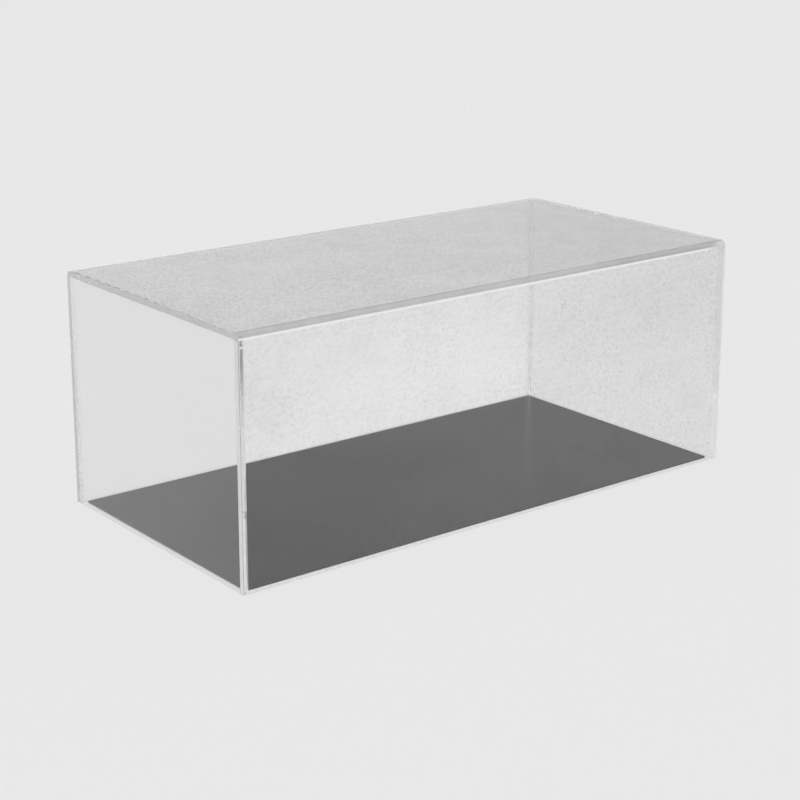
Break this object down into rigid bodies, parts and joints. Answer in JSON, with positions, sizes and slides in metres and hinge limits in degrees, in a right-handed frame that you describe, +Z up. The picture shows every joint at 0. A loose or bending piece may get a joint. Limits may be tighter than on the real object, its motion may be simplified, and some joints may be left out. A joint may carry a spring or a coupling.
{
  "type": "model car display case",
  "caption": "Clear lift-off cover with rounded long top edges and cemented end panels, over a thin glossy black sheet that carries a model car.",
  "frame": {"origin": "middle of the footprint, on the surface that the case stands on", "axes": "+X along the front wall, to the right as seen from the front; +Y from the front wall to the back wall; +Z up"},
  "size_m": [0.33, 0.165, 0.13],
  "materials": {
    "clear_acrylic": "clear acrylic sheet, polished",
    "cement": "hardened clear cement with small bubbles",
    "black_gloss": "polished black"
  },
  "bodies": {
    "base": {"base_sheet": "black_gloss"},
    "cover": {"cover_sheet": "clear_acrylic", "left_end_panel": "clear_acrylic", "right_end_panel": "clear_acrylic", "left_cement_seam": "cement", "right_cement_seam": "cement"}
  },
  "joints": [
    {"name": "cover_lift", "type": "slide", "parent": "base", "child": "cover", "axis": [0, 0, 1], "range_m": [0, 0.15]}
  ]
}
